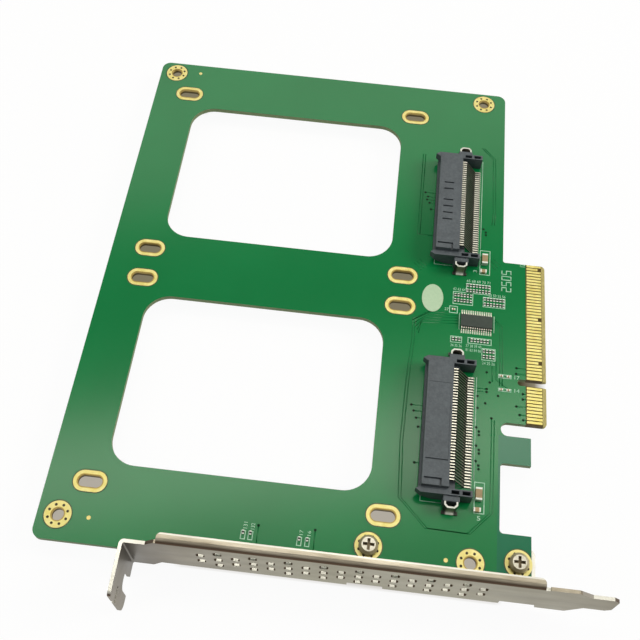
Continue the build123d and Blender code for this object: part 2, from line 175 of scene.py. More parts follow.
tree.links.new(blend_colours(tree, bare, green, laminate), shader.inputs["Base Color"])
tree.links.new(spread(tree, bare, mask_rough, sawn_rough, 0.0, 1.0), shader.inputs["Roughness"])
relief(tree, shader, noise(tree, where, 700.0, 2.0), 0.00002, 0.10)
shader.inputs["IOR"].default_value = 1.45
shader.inputs["Specular IOR Level"].default_value = 0.42
coat_node("board", solder_mask)


# Plated lands and edge contacts
# Thin gold over copper on the edge contacts and round each hole, on both faces and down the wall.
# The mask stops a little outside each land, which leaves a dark line round it.
# Places on the board are in millimetres from its front left corner, heights from its top face.
corner_columns = (5.36, 110.81)
corner_rows = (6.4, 158.2)
screw_places = [(84.88, 7.62), (122.93, 7.62)]
hole_places = [(x, y) for y in corner_rows for x in corner_columns] + screw_places
slot_columns = (11.4, 88.0)
slot_rows = (15.72, 77.44, 87.77, 149.49)
slot_places = [(x, y) for x in slot_columns for y in slot_rows]
slot_straight = 0.00165
mouth_half = 0.0016
mouth_shade_from, mouth_shade_to = mouth_half + 0.00012, mouth_half + 0.00038
gold_dark, gold_light = (0.70, 0.60, 0.18), (0.94, 0.85, 0.38)
mouth_shade_dark, mouth_shade_light = (0.30, 0.19, 0.035), (0.50, 0.35, 0.09)


def at(x, y, z=0.0):
    return Vector((corner_x + x / 1000, corner_y + y / 1000, board_top + z / 1000))


def nearest(tree, value, spots):
    found = None
    for spot in spots:
        away = maths(tree, "ABSOLUTE", maths(tree, "SUBTRACT", value, spot))
        found = away if found is None else maths(tree, "MINIMUM", found, away)
    return found


def distance(tree, across, along):
    squares = [maths(tree, "MULTIPLY", side, side) for side in (across, along)]
    return maths(tree, "SQRT", maths(tree, "ADD", *squares))


def plated(name, dark, light, rough, scale=420.0, metal=0.65, mouths=None):
    material, tree, shader = finish(name, rough, metal)
    where = place_on_part(tree)
    grain = noise(tree, where, scale, 4.0)
    tone = tones(tree, grain, (0.3, dark), (0.7, light))
    # Near each hole mouth the ring is painted darker and browner: painted shade at its inner border.
    if mouths:
        columns, rows, straight = mouths
        x, y = along_axes(tree, where)[:2]
        beside = nearest(tree, x, [corner_x + column / 1000 for column in columns])
        beside = maths(tree, "MAXIMUM", maths(tree, "SUBTRACT", beside, straight))
        ahead = nearest(tree, y, [corner_y + row / 1000 for row in rows])
        mouth_shade = spread(tree, distance(tree, beside, ahead), 1.0, 0.0, mouth_shade_from, mouth_shade_to)
        mouth_shade_tone = tones(tree, grain, (0.3, mouth_shade_dark), (0.7, mouth_shade_light))
        tone = blend_colours(tree, mouth_shade, tone, mouth_shade_tone)
    tree.links.new(tone, shader.inputs["Base Color"])
    tree.links.new(spread(tree, grain, rough - 0.06, rough + 0.10), shader.inputs["Roughness"])
    relief(tree, shader, noise(tree, where, 1600.0, 2.0), 0.00001, 0.2)
    return material


gold = plated("gold_plating", gold_dark, gold_light, 0.42)
slot_gold = plated("slot_gold", gold_dark, gold_light, 0.42,
                   mouths=(slot_columns, slot_rows, slot_straight))
corner_gold = plated("corner_gold", gold_dark, gold_light, 0.42,
                     mouths=(corner_columns, corner_rows, 0.0))
contact_gold = plated("contact_gold", (0.72, 0.61, 0.165), (0.92, 0.83, 0.33), 0.38)
coat_node("drive_slot_lands", slot_gold)
coat_node("corner_hole_lands", corner_gold)
coat_node("screw_lands", gold)
for name in ("edge_pins_top", "edge_pins_bottom", "lower_blades", "upper_blades"):
    coat_node(name, contact_gold)


def deselect():
    bpy.ops.object.select_all(action="DESELECT")


def pick(*pieces):
    deselect()
    for piece in pieces:
        piece.select_set(True)
    bpy.context.view_layer.objects.active = pieces[0]


def settle(piece, name, material):
    piece.name = name
    piece.data.name = name
    pick(piece)
    bpy.ops.object.transform_apply(location=True, rotation=True, scale=True)
    piece.data.materials.clear()
    piece.data.materials.append(material)
    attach(piece, "root")


def joined(pieces):
    pick(*pieces)
    if len(pieces) > 1:
        bpy.ops.object.join()
    return bpy.context.view_layer.objects.active


def land_copy(name, ending):
    ring = bpy.data.objects.new(name + ending, nodes[name].data.copy())
    bpy.context.collection.objects.link(ring)
    pick(ring)
    bpy.ops.object.mode_set(mode="EDIT")
    bpy.ops.mesh.select_all(action="SELECT")
    bpy.ops.mesh.remove_doubles(threshold=0.000001)
    return ring


land_low, land_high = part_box("drive_slot_lands")
under_lands = []
for name in ("drive_slot_lands", "corner_hole_lands"):
    ring = land_copy(name, "_under")
    bpy.ops.transform.translate(value=(0, 0, board_bottom - land_high[2]))
    bpy.ops.object.mode_set(mode="OBJECT")
    under_lands.append(ring)
settle(joined(under_lands), "lands_under_board", gold)

foot_edge = corner_x + 0.1262
inside_foot = foot_edge - 0.00002


def cut_at_foot():
    bpy.ops.mesh.select_all(action="SELECT")
    bpy.ops.mesh.bisect(plane_co=(inside_foot, 0, 0), plane_no=(1, 0, 0), use_fill=True, clear_outer=True)
    bpy.ops.mesh.select_all(action="SELECT")


all_lands = ("drive_slot_lands", "corner_hole_lands", "screw_lands")
wall_share = 0.96
wall_stretch = (board_top - board_bottom) / (land_high[2] - land_low[2]) * wall_share
wall_inward = 0.00004
wall_drop = 0.00005
hole_walls = []
for name in all_lands:
    ring = land_copy(name, "_wall")
    bpy.ops.transform.resize(value=(1, 1, wall_stretch), center_override=(0, 0, land_high[2]))
    bpy.ops.transform.shrink_fatten(value=wall_inward)
    bpy.ops.transform.translate(value=(0, 0, board_top - land_high[2] - wall_drop))
    cut_at_foot()
    bpy.ops.object.mode_set(mode="OBJECT")
    hole_walls.append(ring)
wall_plating, tree, shader = finish("wall_plating", 0.5, 0.4)
where = place_on_part(tree)
# The wall colour is painted light and shade: a painted highlight at the top of each hole wall, painted shade
# further down.
depth = spread(tree, along_axes(tree, where)[2], 0.0, 1.0, board_bottom, board_top)
wall_light_by_height = maths(tree, "ADD", depth, maths(tree, "MULTIPLY", noise(tree, where, 300.0), 0.15))
wall_tone = tones(tree, wall_light_by_height, (0.45, (0.10, 0.070, 0.020)), (0.80, (0.70, 0.52, 0.17)))
tree.links.new(wall_tone, shader.inputs["Base Color"])
settle(joined(hole_walls), "plated_hole_walls", wall_plating)

clear_out = 0.0003
clear_thick = 0.00002
clear_above = 0.00001
hole_centres = [at(x, y) for x, y in hole_places + slot_places]
clear_rings = []
for name in all_lands:
    ring = land_copy(name, "_clear")
    bpy.ops.mesh.select_all(action="DESELECT")
    bpy.ops.object.mode_set(mode="OBJECT")
    for face in ring.data.polygons:
        middle = min(hole_centres, key=lambda spot: (spot - face.center).length)
        outward = face.normal.dot(face.center - middle) > 0
        face.select = abs(face.normal.z) < 0.5 and outward
    bpy.ops.object.mode_set(mode="EDIT")
    bpy.ops.transform.shrink_fatten(value=clear_out, use_even_offset=True)
    bpy.ops.mesh.select_all(action="SELECT")
    bpy.ops.object.mode_set(mode="OBJECT")
    ring_low = min(corner.co.z for corner in ring.data.vertices)
    ring_high = max(corner.co.z for corner in ring.data.vertices)
    bpy.ops.object.mode_set(mode="EDIT")
    bpy.ops.transform.resize(value=(1, 1, clear_thick / (ring_high - ring_low)),
                             center_override=(0, 0, ring_high))
    bpy.ops.transform.translate(value=(0, 0, board_top + clear_above - ring_high))
    cut_at_foot()
    bpy.ops.object.mode_set(mode="OBJECT")
    clear_rings.append(ring)


def speckled(name, rough, scale, dark, light, detail=4.0, full=0.7):
    material, tree, shader = finish(name, rough)
    grain = noise(tree, place_on_part(tree), scale, detail)
    tree.links.new(tones(tree, grain, (0.3, dark), (full, light)), shader.inputs["Base Color"])
    return material, tree, shader


clear_green = speckled("mask_clearance", 0.35, 300.0, (0.010, 0.060, 0.014), (0.022, 0.085, 0.024))[0]
settle(joined(clear_rings), "mask_clearance_rings", clear_green)


# Corner hole vias and marking dots
# Eight small plated holes lie on a ring round each corner and screw hole, and three bare copper
# dots let the assembly machine find the board.
via_ring = 5.1
via_size = 0.72
via_thick = 0.02
via_above = 0.046
ring_count = 8
dot_size = 1.1
dot_thick = 0.04
dot_places = [(13.4, 158.9), (13.4, 6.4), (104.6, 6.4)]
shadow_hole = speckled("hole_shadow", 0.6, 900.0, (0.020, 0.012, 0.002), (0.06, 0.038, 0.010))[0]


def small_disc(size, thick, spot, sides=12):
    deselect()
    bpy.ops.mesh.primitive_cylinder_add(vertices=sides, radius=size / 2000, depth=thick / 1000, location=spot)
    disc = bpy.context.object
    bpy.ops.object.mode_set(mode="EDIT")
    bpy.ops.mesh.select_all(action="DESELECT")
    bpy.ops.object.mode_set(mode="OBJECT")
    for face in disc.data.polygons:
        face.select = face.normal.z > 0.9
    bpy.ops.object.mode_set(mode="EDIT")
    bpy.ops.mesh.inset(thickness=size / 7000)
    bpy.ops.transform.translate(value=(0, 0, -thick / 4000))
    bpy.ops.object.mode_set(mode="OBJECT")
    return disc


def copy_of(piece, shift):
    copy = piece.copy()
    copy.data = piece.data.copy()
    bpy.context.collection.objects.link(copy)
    copy.location = Vector(copy.location) + Vector(shift)
    return copy


def copies_at(first, places):
    copies = [copy_of(first, at(x, y) - at(0, 0)) for x, y in places]
    bpy.data.objects.remove(first)
    return joined(copies)


ring_places = []
for x, y in hole_places:
    for k in range(ring_count):
        turn = math.radians(360 / ring_count * (k + 0.5))
        ring_places.append((x + via_ring / 2 * math.cos(turn), y + via_ring / 2 * math.sin(turn)))
land_vias = copies_at(small_disc(via_size, via_thick, at(0, 0, via_above)), ring_places)
settle(land_vias, "land_vias", shadow_hole)

dots = [small_disc(dot_size, dot_thick, at(x, y, dot_thick / 2), 20) for x, y in dot_places]
settle(joined(dots), "marking_dots", gold)


# Tracks and vias
# Copper tracks show through the mask as faint darker lines, in pairs round the receptacles and in a
# fan at the clock chip. Small holes under the mask join the layers, each at the end of a track.
track_wide = 0.28
track_gap = 0.75
track_high = 0.015
fine_wide = 0.2
covered_size = 0.75
covered_thick = 0.03
runs = []
via_spots = []
track_green, tree, shader = speckled("covered_track", 0.2, 40.0, (0.0008, 0.158, 0.041), (0.0016, 0.184, 0.050))
relief(tree, shader, noise(tree, place_on_part(tree), 700.0, 2.0), 0.00002, 0.10)
shader.inputs["Specular IOR Level"].default_value = 0.42


def strip(route, wide, high, shift=0.0):
    path = bpy.data.curves.new("strip", "CURVE")
    path.dimensions = "3D"
    path.twist_mode = "Z_UP"
    path.extrude = wide / 2000
    line = path.splines.new("POLY")
    line.points.add(len(route) - 1)
    for point, (x, y) in zip(line.points, route):
        point.co = (*at(x + shift, y, high), 1)
        point.tilt = math.pi / 2
    piece = bpy.data.objects.new("strip", path)
    bpy.context.collection.objects.link(piece)
    pick(piece)
    bpy.ops.object.convert(target="MESH")
    piece = bpy.context.object
    thicken = piece.modifiers.new("thickness", "SOLIDIFY")
    thicken.thickness = high / 1000
    bpy.ops.object.modifier_apply(modifier=thicken.name)
    return piece


def lay_track(route, shift=0.0, wide=track_wide):
    runs.append(strip(route, wide, track_high, shift))


def lay_stub(x, y, end_x, end_y):
    via_spots.append((x, y))
    lay_track([(x, y), (end_x, end_y)])


loop_left, loop_right = 90.9, 115.45
lower_loop = [(96.8, 76.9), (92.0, 73.8), (92.1, 66.7), (91.3, 54.0), (loop_left, 36.4), (91.5, 21.0),
              (98.9, 13.8), (109.7, 13.6), (loop_right, 19.6), (loop_right, 45.1)]
upper_left_pair = [(91.6, 134.4), (91.5, 103.1), (96.8, 103.1)]
upper_right_run = [(110.7, 139.2), (114.4, 135.1), (114.7, 113.9), (114.4, 109.2)]
contact_run = [(115.9, 76.1), (118.0, 74.2), (118.3, 62.9), (118.2, 55.4)]
branch_run = [(115.3, 62.9), (115.4, 56.4)]
diagonal_run = [(116.4, 63.3), (116.5, 57.2), (119.9, 54.8)]
for first, second, gap in ((lower_loop, lower_loop, track_gap),
                           (upper_left_pair, upper_left_pair[:2], track_gap),
                           (upper_right_run, upper_right_run, track_gap),
                           (contact_run, contact_run, -track_gap)):
    lay_track(first)
    lay_track(second, gap)
lay_track(branch_run)
lay_track(diagonal_run)
for k in range(5):
    lay_track([(105.2, 77.2 - 0.9 * k), (96.4 - 0.5 * k, 76.4 - 0.9 * k), (91.9 + 0.5 * k, 73.2 - 1.0 * k)])
for k in range(3):
    for x, y in ((91.2, 92.6), (113.5, 95.4)):
        lay_track([(x + 0.8 * k, y + 0.7 * k), (x + 2.3 + 0.8 * k, y - 2.2 + 0.7 * k)], wide=fine_wide)

for x, y in ((93.3, 47.0), (94.0, 45.3), (94.8, 43.3), (95.5, 40.8), (95.1, 30.7)):
    lay_stub(x, y, 98.2, y + 0.1)
for x, y in ((93.1, 119.1), (94.0, 117.6), (93.8, 116.4), (94.6, 115.2), (95.2, 112.8)):
    lay_stub(x, y, 97.4, y - 0.2)
for x, y in ((111.3, 42.5), (111.4, 37.3), (111.4, 33.0), (111.8, 107.4)):
    via_spots += [(x, y), (x + 0.75, y - 1.1), (x + 0.8, y - 2.1)]
via_spots += [(111.4, 51.7), (111.5, 48.2), (113.6, 49.8), (117.1, 52.4), (115.4, 45.6),
              (113.8, 59.2), (114.7, 56.2)]
for x, y in ((56.6, 9.5), (71.1, 10.0)):
    lay_stub(x, y, x + 0.1, 5.0)
for y in (54.1, 53.2):
    lay_stub(113.9, y, 111.0, y)
for x, y in ((122.2, 61.5), (122.1, 59.7), (124.0, 53.8), (124.0, 52.2), (122.2, 49.9), (123.1, 47.5),
             (124.1, 46.1)):
    lay_stub(x, y, 125.0, y)
settle(joined(runs), "covered_tracks", track_green)

first = small_disc(covered_size, covered_thick, at(0, 0, covered_thick / 2), 10)
via_green, tree, shader = speckled("covered_via", 0.5, 500.0, (0.002, 0.020, 0.008), (0.004, 0.036, 0.015))
shader.inputs["Specular IOR Level"].default_value = 0.08
settle(copies_at(first, via_spots), "covered_vias", via_green)


# Printed marks
# White ink printed on the mask: frames round the groups of small parts, outlines round the
# receptacles and the chip, and plain numbers.
ink_high = 0.02
ink_wide = 0.22
digit_wide, digit_tall, digit_step = 1.25, 2.7, 1.95
digit_stroke = 0.36
digit_routes = {"0": [(0, 0), (2, 0), (2, 4), (0, 4), (0, 0)],
                "2": [(0, 4), (2, 4), (2, 2), (0, 2), (0, 0), (2, 0)],
                "5": [(2, 4), (0, 4), (0, 2), (2, 2), (2, 0), (0, 0)]}
part_frames = [(107.1, 84.1, 114.4, 87.5), (103.3, 80.0, 109.3, 84.3), (112.2, 80.0, 118.8, 83.4),
               (102.4, 76.9, 104.9, 79.3), (103.1, 67.4, 106.5, 69.5), (108.1, 67.6, 115.0, 69.6),
               (112.2, 62.8, 116.2, 66.6), (117.1, 57.9, 120.8, 59.1), (117.1, 53.9, 120.8, 54.9),
               (52.35, 5.6, 53.65, 7.9), (54.25, 5.6, 55.55, 7.9), (66.7, 5.6, 68.0, 7.9),
               (68.75, 5.6, 70.05, 7.9), (111.2, 19.0, 114.0, 27.4), (110.9, 90.9, 114.1, 99.6)]
numbers = [("12", 124.6, 95.0, 0.9, 1.5, 90),
           ("131", 53.8, 8.1, 1.6, 1.0, 90), ("132", 55.7, 8.1, 1.6, 1.0, 90),
           ("17", 68.1, 8.1, 1.2, 0.9, 90), ("16", 70.1, 8.1, 1.2, 0.9, 90),
           ("65 68 69 70 71", 107.2, 87.9, 7.0, 0.9, 0), ("62 63 64", 103.3, 84.7, 3.6, 0.9, 0),
           ("52 53 55 56", 113.8, 83.7, 5.0, 0.9, 0), ("27", 101.0, 77.6, 1.2, 0.9, 0),
           ("34 35 36", 103.2, 66.1, 3.2, 0.9, 0), ("37 38 39 40", 107.6, 66.4, 4.4, 0.9, 0),
           ("81 83 84 86", 107.6, 65.1, 4.4, 0.9, 0), ("24 25 26", 112.4, 61.5, 3.6, 0.9, 0),
           ("17", 121.3, 58.0, 1.4, 1.1, 0), ("14", 121.3, 54.0, 1.4, 1.1, 0),
           ("5", 112.0, 17.3, 0.9, 1.2, 0), ("3", 110.2, 91.4, 0.8, 1.2, 90)]
line_right, line_left = 111.0, 97.2
mark_ink, tree, shader = speckled("white_ink", 0.6, 1400.0, (0.31, 0.61, 0.45), (0.53, 0.82, 0.64), 2.0, 0.6)
shader.inputs["Specular IOR Level"].default_value = 0.2


def outline(x0, y0, x1, y1):
    deselect()
    bpy.ops.mesh.primitive_plane_add(size=1, location=at((x0 + x1) / 2, (y0 + y1) / 2, ink_high))
    edge = bpy.context.object
    edge.scale = (abs(x1 - x0) / 1000, abs(y1 - y0) / 1000, 1)
    bpy.ops.object.transform_apply(location=False, rotation=False, scale=True)
    bpy.ops.object.mode_set(mode="EDIT")
    bpy.ops.mesh.select_all(action="SELECT")
    bpy.ops.mesh.inset(thickness=ink_wide / 1000)
    bpy.ops.mesh.delete(type="FACE")
    bpy.ops.mesh.select_all(action="SELECT")
    bpy.ops.mesh.extrude_region_move(TRANSFORM_OT_translate={"value": (0, 0, -ink_high / 1000)})
    bpy.ops.mesh.select_all(action="SELECT")
    bpy.ops.mesh.normals_make_consistent(inside=False)
    bpy.ops.object.mode_set(mode="OBJECT")
    return edge


def number(digits, x, y, long, tall, turn):
    deselect()
    bpy.ops.object.text_add(location=at(x, y, ink_high / 2), rotation=(0, 0, math.radians(turn)))
    mark = bpy.context.object
    mark.data.body = digits
    mark.data.size = 0.01
    mark.data.resolution_u = 2
    mark.data.extrude = ink_high / 2000
    bpy.ops.object.convert(target="MESH")
    mark = bpy.context.object
    mark.scale = (long / 1000 / mark.dimensions.x, tall / 1000 / mark.dimensions.y, 1)
    return mark


def stroked(digit, x, y):
    route = [(x - up * digit_tall / 4, y + over * digit_wide / 2) for over, up in digit_routes[digit]]
    return strip(route, digit_stroke, ink_high)


inked = [outline(*corners) for corners in part_frames]
inked += [stroked(digit, 120.4, 86.1 + digit_step * k) for k, digit in enumerate("2505")]
inked += [number(*mark) for mark in numbers]
for low_line, high_line in ((20.7, 57.3), (93.0, 133.5)):
    right_line = [(line_right, low_line + 7.0), (line_right, high_line)]
    left_corner = [(line_left, low_line + 2.2), (line_left, low_line), (102.7, low_line)]
    inked += [strip(route, ink_wide, ink_high) for route in (right_line, left_corner)]
inked += [strip([(x, 77.2), (x, 71.8)], ink_wide, ink_high) for x in (105.5, 115.6)]
settle(joined(inked), "printed_marks", mark_ink)


# Receptacle housings
# Each is moulded in matt, glass-filled plastic of a bluish grey. A small socket at each end, part of
# the same moulding, takes the metal clip that is soldered to the board.
socket_out = 1.5
socket_wide = 4.3
socket_inside = 0.0037
socket_above = 0.0001
socket_edge = 0.0002


def moulded(name, dark, light, rough, depth, scale=1500.0):
    material, tree, shader = finish(name, rough)
    where = place_on_part(tree)
    cloud = noise(tree, where, 160.0, 5.0)
    grain = noise(tree, where, scale, 3.0)
    mottle = maths(tree, "ADD", maths(tree, "MULTIPLY", cloud, 0.45), maths(tree, "MULTIPLY", grain, 0.55))
    tree.links.new(tones(tree, mottle, (0.36, dark), (0.64, light)), shader.inputs["Base Color"])
    tree.links.new(spread(tree, mottle, rough - 0.08, rough + 0.10), shader.inputs["Roughness"])
    relief(tree, shader, grain, depth, 0.5)
    return material


housing_plastic = moulded("housing_plastic", (0.061, 0.076, 0.092), (0.108, 0.129, 0.150), 0.48,
                          0.00008, 1300.0)
for name in ("lower_housing", "upper_housing"):
    coat_node(name, housing_plastic)


def soft_block(spot, size, edge, segments):
    deselect()
    bpy.ops.mesh.primitive_cube_add(size=1, location=spot)
    block = bpy.context.object
    block.scale = size
    bpy.ops.object.transform_apply(location=False, rotation=False, scale=True)
    soften = block.modifiers.new("edges", "BEVEL")
    soften.width = edge
    soften.segments = segments
    bpy.ops.object.modifier_apply(modifier=soften.name)
    return block


sockets = []
for name in ("lower_clips", "upper_clips"):
    clip_low, clip_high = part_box(name)
    middle_x = (clip_low[0] + clip_high[0]) / 2
    middle_z = (board_top + clip_high[2]) / 2 + socket_above
    size = (socket_wide / 1000, socket_out / 1000, clip_high[2] - board_top)
    for edge_y, way in ((clip_low[1] + socket_inside, -1), (clip_high[1] - socket_inside, 1)):
        spot = (middle_x, edge_y + way * socket_out / 2000, middle_z)
        sockets.append(soft_block(spot, size, socket_edge, 2))
settle(joined(sockets), "clip_sockets", housing_plastic)


# Receptacle contacts
# Rows of 40 tinned springs, stamped and bent from thin strip at a step of 0.8 mm. They come out of
# the back of the housing and stand on solder pads on the board.
contact_rows = ("lower_contacts", "upper_contacts")
contact_count = 40
contact_step = 0.0008
contact_wide = 0.00042
crown_middle, crown_half = 0.2625, 0.19
pad_high = 0.00003
pad_lap = 0.0001
pad_out = 0.0004
pad_wide = 0.0005


def facing_up(tree):
    facing = tree.nodes.new("ShaderNodeNewGeometry")
    return along_axes(tree, facing.outputs["Normal"])[2]


# Painted light by facing: level tops get a painted highlight, slopes a middle tone and upright sides painted
# shade; along a row, the edges of each contact step are painted as shade between contacts.
def tin_with_painted_light(name, row_start=None):
    material, tree, shader = finish(name, 0.35, 0.7)
    where = place_on_part(tree)
    grain = noise(tree, where, 700.0)
    upward = facing_up(tree)
    level = maths(tree, "GREATER_THAN", upward, 0.93)
    strand = maths(tree, "GREATER_THAN", upward, 0.3)
    shaded_side_tin = tones(tree, grain, (0.3, (0.012, 0.012, 0.009)), (0.7, (0.035, 0.035, 0.028)))
    half_shaded_strand_tin = tones(tree, grain, (0.3, (0.12, 0.13, 0.10)), (0.7, (0.22, 0.23, 0.18)))
    lit_tin = tones(tree, grain, (0.3, (0.76, 0.75, 0.63)), (0.7, (0.98, 0.96, 0.85)))
    if row_start is not None:
        along_row = maths(tree, "SUBTRACT", along_axes(tree, where)[1], row_start)
        in_step = maths(tree, "FRACT", maths(tree, "DIVIDE", along_row, contact_step))
        off_middle = maths(tree, "ABSOLUTE", maths(tree, "SUBTRACT", in_step, crown_middle))
        crown = maths(tree, "LESS_THAN", off_middle, crown_half)
        level = maths(tree, "MULTIPLY", level, crown)
        strand = maths(tree, "MULTIPLY", strand, crown)
    shaded_tin = blend_colours(tree, strand, shaded_side_tin, half_shaded_strand_tin)
    tree.links.new(blend_colours(tree, level, shaded_tin, lit_tin), shader.inputs["Base Color"])
    relief(tree, shader, noise(tree, where, 1600.0, 2.0), 0.00001, 0.2)
    return material


def flat_pad(spot, long, wide):
    deselect()
    bpy.ops.mesh.primitive_plane_add(size=1, location=spot)
    pad = bpy.context.object
    pad.scale = (long, wide, 1)
    bpy.ops.object.transform_apply(location=False, rotation=False, scale=True)
    bpy.ops.object.mode_set(mode="EDIT")
    bpy.ops.mesh.select_all(action="SELECT")
    bpy.ops.mesh.extrude_region_move(TRANSFORM_OT_translate={"value": (0, 0, -pad_high)})
    bpy.ops.mesh.select_all(action="SELECT")
    bpy.ops.mesh.normals_make_consistent(inside=False)
    bpy.ops.object.mode_set(mode="OBJECT")
    return pad


pads = []
for name in contact_rows:
    row_low, row_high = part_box(name)
    coat_node(name, tin_with_painted_light(name + "_tin", row_low[1]))
    spot = (row_high[0] + pad_out / 2 - pad_lap, row_low[1] + contact_wide / 2, board_top + pad_high)
    pad = flat_pad(spot, pad_out, pad_wide)
    step = (row_high[1] - row_low[1] - contact_wide) / (contact_count - 1)
    pads += [pad] + [copy_of(pad, (0, k * step, 0)) for k in range(1, contact_count)]


# Clock chip
# A black plastic package between two rows of bent, tinned leads, soldered to two rows of pads.
# These pads and the ones of the receptacles are one piece, since one solder print makes them all.
lead_count = 14
lead_wide = 0.00025
chip_pad_out = 0.0009
chip_pad_wide = 0.0004
chip_pad_share = 0.4
chip_plastic = moulded("chip_plastic", (0.022, 0.038, 0.030), (0.038, 0.056, 0.046), 0.5, 0.00002)
coat_node("chip_body", chip_plastic)
# The chip leads get the same painted highlight and painted shade.
coat_node("chip_leads", tin_with_painted_light("bright_tin"))
chip_low, chip_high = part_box("chip_leads")
lead_step = (chip_high[0] - chip_low[0] - lead_wide) / (lead_count - 1)
for edge_y, way in ((chip_low[1], -1), (chip_high[1], 1)):
    spot = (chip_low[0] + lead_wide / 2, edge_y + way * chip_pad_out * chip_pad_share, board_top + pad_high)
    pad = flat_pad(spot, chip_pad_wide, chip_pad_out)
    pads += [pad] + [copy_of(pad, (k * lead_step, 0, 0)) for k in range(1, lead_count)]
pad_tin = plated("pad_tin", (0.42, 0.52, 0.40), (0.66, 0.76, 0.62), 0.4, 900.0, 0.3)
settle(joined(pads), "solder_pads", pad_tin)


# Contact shade strips
# Dark strips painted as shade, seen between the contacts: one under the bent tops of a row and one
# on the board at their feet. They stand in for the shade between the contacts.
shade_strip_thick = 0.00015
shade_strip_past = 0.0002
shade_strip_edge = 0.00003
top_shade_long, top_shade_drop = 0.0016, 0.0006
strip_long, strip_past, strip_above = 0.0022, 0.0001, 0.0001
shade_strips = []
for name in contact_rows:
    row_low, row_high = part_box(name)
    middle_y = (row_low[1] + row_high[1]) / 2
    for x0, x1, high in ((row_low[0], row_low[0] + top_shade_long, row_high[2] - top_shade_drop),
                         (row_high[0] - strip_long, row_high[0] + strip_past, board_top + strip_above)):
        size = (x1 - x0, row_high[1] - row_low[1] + shade_strip_past, shade_strip_thick)
        shade_strips.append(soft_block(((x0 + x1) / 2, middle_y, high), size, shade_strip_edge, 1))
bed_plastic = moulded("bed_plastic", (0.004, 0.008, 0.005), (0.010, 0.016, 0.011), 0.7, 0.00002)
settle(joined(shade_strips), "contact_beds", bed_plastic)


# End clips
# Each clip is one strip of tinned steel, folded into a loop that stands in its socket, with a foot
# soldered to the board. The rim of the loop and the foot get a painted highlight, the web is painted
# darker and the sides of the loop get painted shade.
clip_low, clip_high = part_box("lower_clips")
clip_middle = (clip_low[0] + clip_high[0]) / 2
clip_wide = clip_high[0] - clip_low[0]
foot_reach = (board_top + 0.0006, board_top + 0.0016)
clip_metal, tree, shader = finish("clip_metal", 0.4, 0.2)
grain = noise(tree, place_on_part(tree), 700.0)
upward = facing_up(tree)
spot_x, _, spot_z = along_axes(tree, place_on_part(tree))
level = maths(tree, "GREATER_THAN", upward, 0.9)
off_middle = maths(tree, "ABSOLUTE", maths(tree, "SUBTRACT", spot_x, clip_middle))
aside = spread(tree, off_middle, 0.0, 1.0, clip_wide * 0.20, clip_wide * 0.30)
near_foot = spread(tree, spot_z, 1.0, 0.0, *foot_reach)
# Painted highlight on the rim and foot, darker painted web, painted shade on the sides of the loop.
lit_rim_tin = tones(tree, grain, (0.3, (0.58, 0.60, 0.55)), (0.7, (0.84, 0.86, 0.80)))
shaded_web_tin = tones(tree, grain, (0.3, (0.16, 0.14, 0.10)), (0.7, (0.30, 0.27, 0.20)))
side_shade_tin = tones(tree, grain, (0.3, (0.012, 0.014, 0.011)), (0.7, (0.035, 0.038, 0.031)))
tone = blend_colours(tree, maths(tree, "MAXIMUM", near_foot, level), shaded_web_tin, lit_rim_tin)
low_or_upright = maths(tree, "MAXIMUM", near_foot, maths(tree, "SUBTRACT", 1.0, level))
tone = blend_colours(tree, maths(tree, "MULTIPLY", aside, low_or_upright), tone, side_shade_tin)
tree.links.new(tone, shader.inputs["Base Color"])
relief(tree, shader, grain, 0.00001, 0.15)
for name in ("lower_clips", "upper_clips"):
    coat_node(name, clip_metal)


# Small parts
# Chip resistors and capacitors, in clusters inside their printed frames. Each is a small ceramic
# body between two tinned ends, soldered flat on the board.
ceramic_dark = moulded("dark_ceramic", (0.015, 0.014, 0.013), (0.035, 0.032, 0.030), 0.45, 0.00001)
ceramic_tan = moulded("tan_ceramic", (0.36, 0.25, 0.13), (0.50, 0.37, 0.20), 0.5, 0.00001)
solder = plated("solder_ends", (0.74, 0.80, 0.74), (0.95, 0.97, 0.93), 0.4, 900.0, 0.25)
for name in nodes:
    if name.endswith("_ends"):
        coat_node(name, solder)
    elif name.startswith("resistors"):
        coat_node(name, ceramic_dark)
    elif "capacitors" in name:
        coat_node(name, ceramic_tan)


# Inspection sticker
# A small oval of thin film, so pale that the green of the board tints it, stuck on beside the
# clock chip.
sticker_film = moulded("sticker_film", (0.46, 0.66, 0.44), (0.54, 0.73, 0.51), 0.4, 0.00001)
coat_node("inspection_sticker", sticker_film)


# Slot bracket
# One folded sheet of steel with satin nickel on it. Its colour carries painted light: a painted
# highlight on the lip top and on the upward cut edges, a painted glint on the back of the lip, a dark
# brown painted reflection on the outside of the bend and painted shade in the corner by the tab.
# The face is darker towards the tab and towards the far end. Two ears under the board hold the card.
bracket_low, bracket_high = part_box("slot_bracket")
lip_thick = 0.001
glint_deep = 0.0004
tab_reach = (bracket_low[0] + 0.008, bracket_low[0] + 0.042)
far_reach = (bracket_low[0] + 0.075, bracket_high[0])
fold_reach = (0.001, 0.013)
satin_nickel, tree, shader = finish("satin_nickel", 0.38, 1.0)
streak = noise(tree, place_on_part(tree, (0.15, 1, 1)), 300.0, 4.0, 0.6)
cloud = noise(tree, place_on_part(tree), 60.0, 3.0)
upward = facing_up(tree)
spot_x, spot_y, spot_z = along_axes(tree, place_on_part(tree))
looks_up = maths(tree, "GREATER_THAN", upward, 0.6)
under_lip = maths(tree, "LESS_THAN", spot_z, bracket_high[2] - lip_thick)
face_tone = tones(tree, streak, (0.25, (0.26, 0.240, 0.160)), (0.75, (0.35, 0.325, 0.222)))
